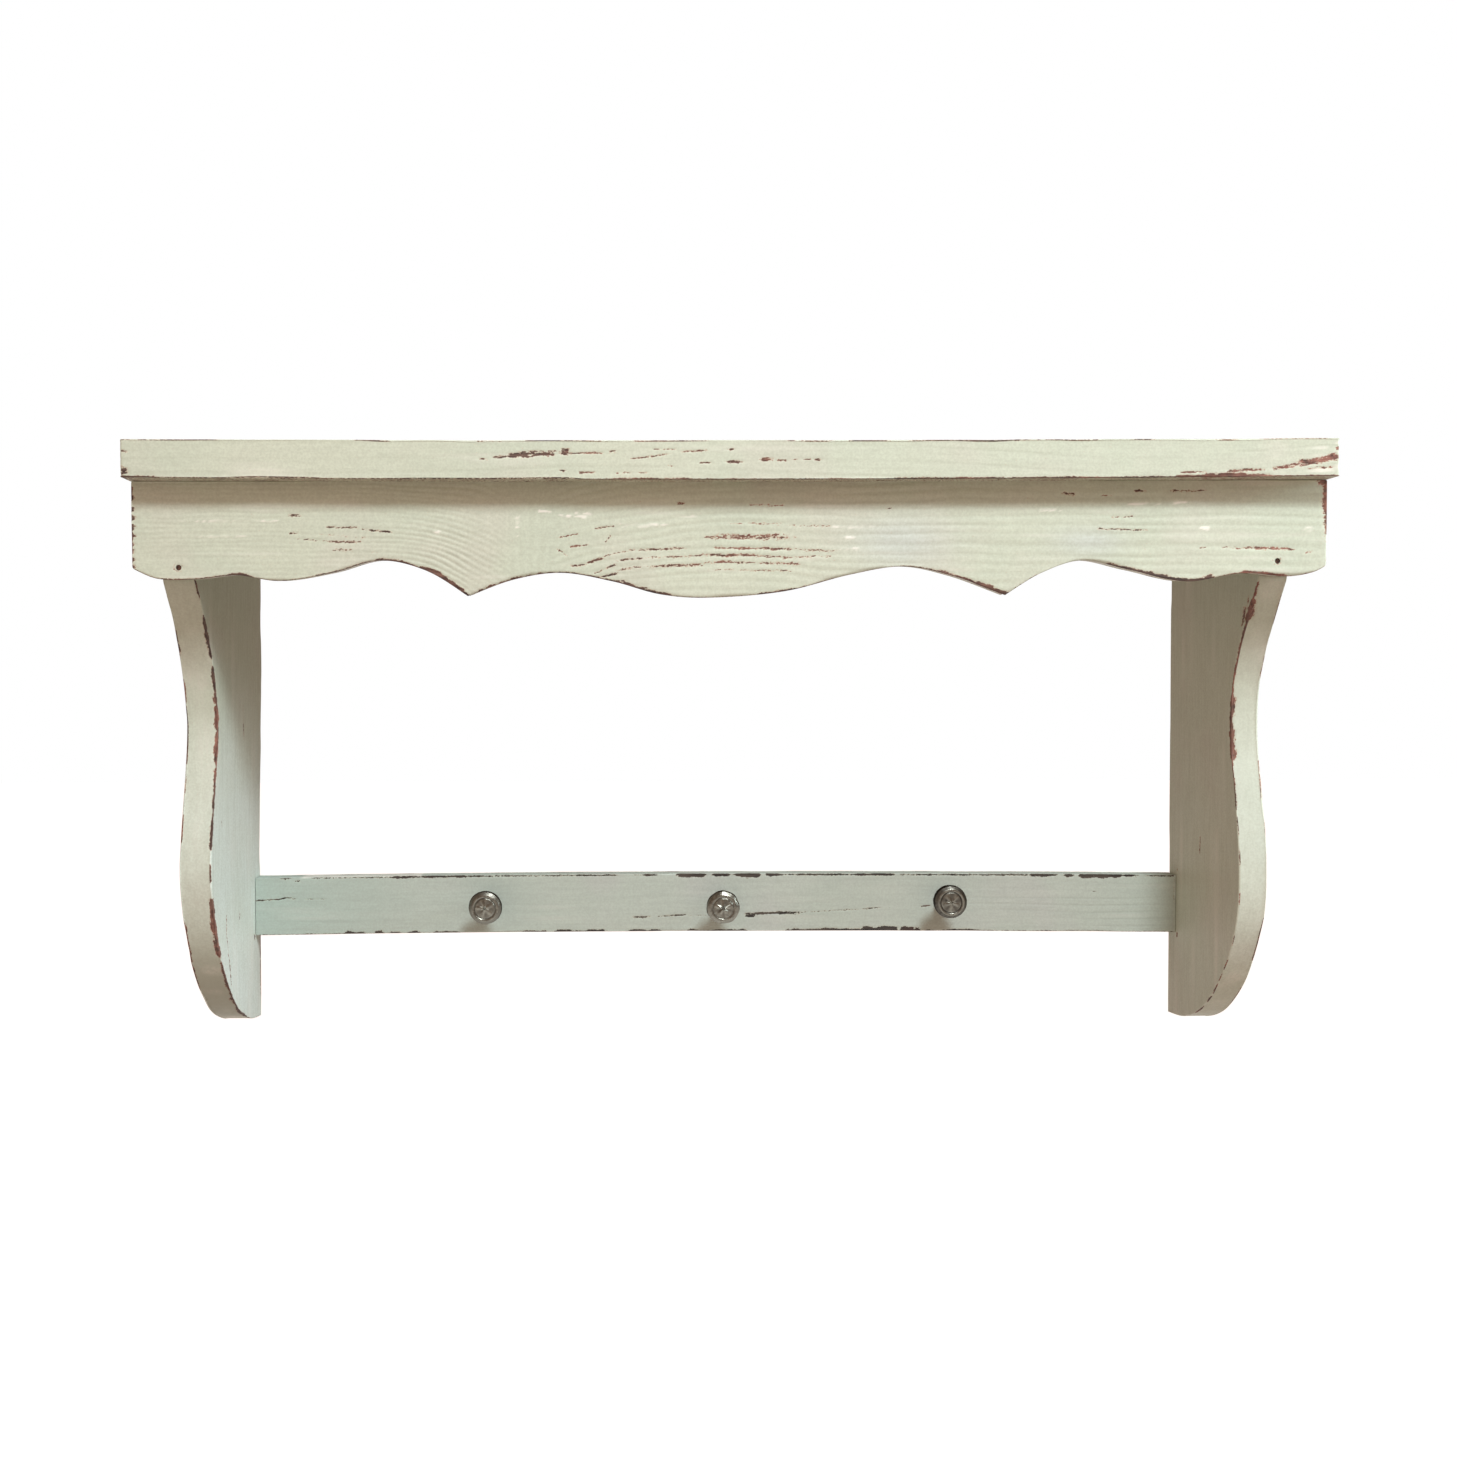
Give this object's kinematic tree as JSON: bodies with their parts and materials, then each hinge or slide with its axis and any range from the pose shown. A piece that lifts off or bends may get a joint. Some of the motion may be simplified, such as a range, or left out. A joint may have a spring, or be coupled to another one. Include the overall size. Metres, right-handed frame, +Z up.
{
  "type": "wall shelf with brackets",
  "caption": "Painted, worn wooden wall shelf on two scroll-cut brackets, with a scalloped front apron and a lower peg rail with round metal knobs.",
  "frame": {"origin": "on the wall, midway between the two keyhole entries in the brackets' back edges", "axes": "+X along the shelf to the right as seen from the front, +Y into the wall, +Z up"},
  "size_m": [0.62, 0.136, 0.329],
  "materials": {
    "painted_wood": "chalky pale sage paint over brown-stained softwood, brushed grain showing, rubbed through along the arrises",
    "painted_rail": "the same chalky paint, thinner and greener, rubbed through along the arrises",
    "antique_nickel": "antique nickel on a cast knob, bright on the raised parts and dark in the recesses",
    "zinc_steel": "zinc-plated steel, slightly dulled",
    "painted_screw": "steel screw heads painted over with the shelf",
    "rusty_nail": "dark rusty steel nail heads, set below the face"
  },
  "bodies": {
    "root": {"shelf_board": "painted_wood", "front_apron": "painted_wood", "left_bracket": "painted_wood", "right_bracket": "painted_wood", "peg_rail": "painted_rail", "knob_left": "antique_nickel", "knob_middle": "antique_nickel", "knob_right": "antique_nickel", "knob_screw_left": "zinc_steel", "knob_screw_middle": "zinc_steel", "knob_screw_right": "zinc_steel", "knob_washer_left": "zinc_steel", "knob_washer_middle": "zinc_steel", "knob_washer_right": "zinc_steel", "keyhole_plate_left": "zinc_steel", "keyhole_plate_right": "zinc_steel", "plate_screws_left": "zinc_steel", "plate_screws_right": "zinc_steel", "shelf_screws_left": "painted_screw", "shelf_screws_right": "painted_screw", "apron_nail_left": "rusty_nail", "apron_nail_right": "rusty_nail", "apron_pins": "rusty_nail", "rail_nails_left": "rusty_nail", "rail_nails_right": "rusty_nail"}
  },
  "joints": []
}
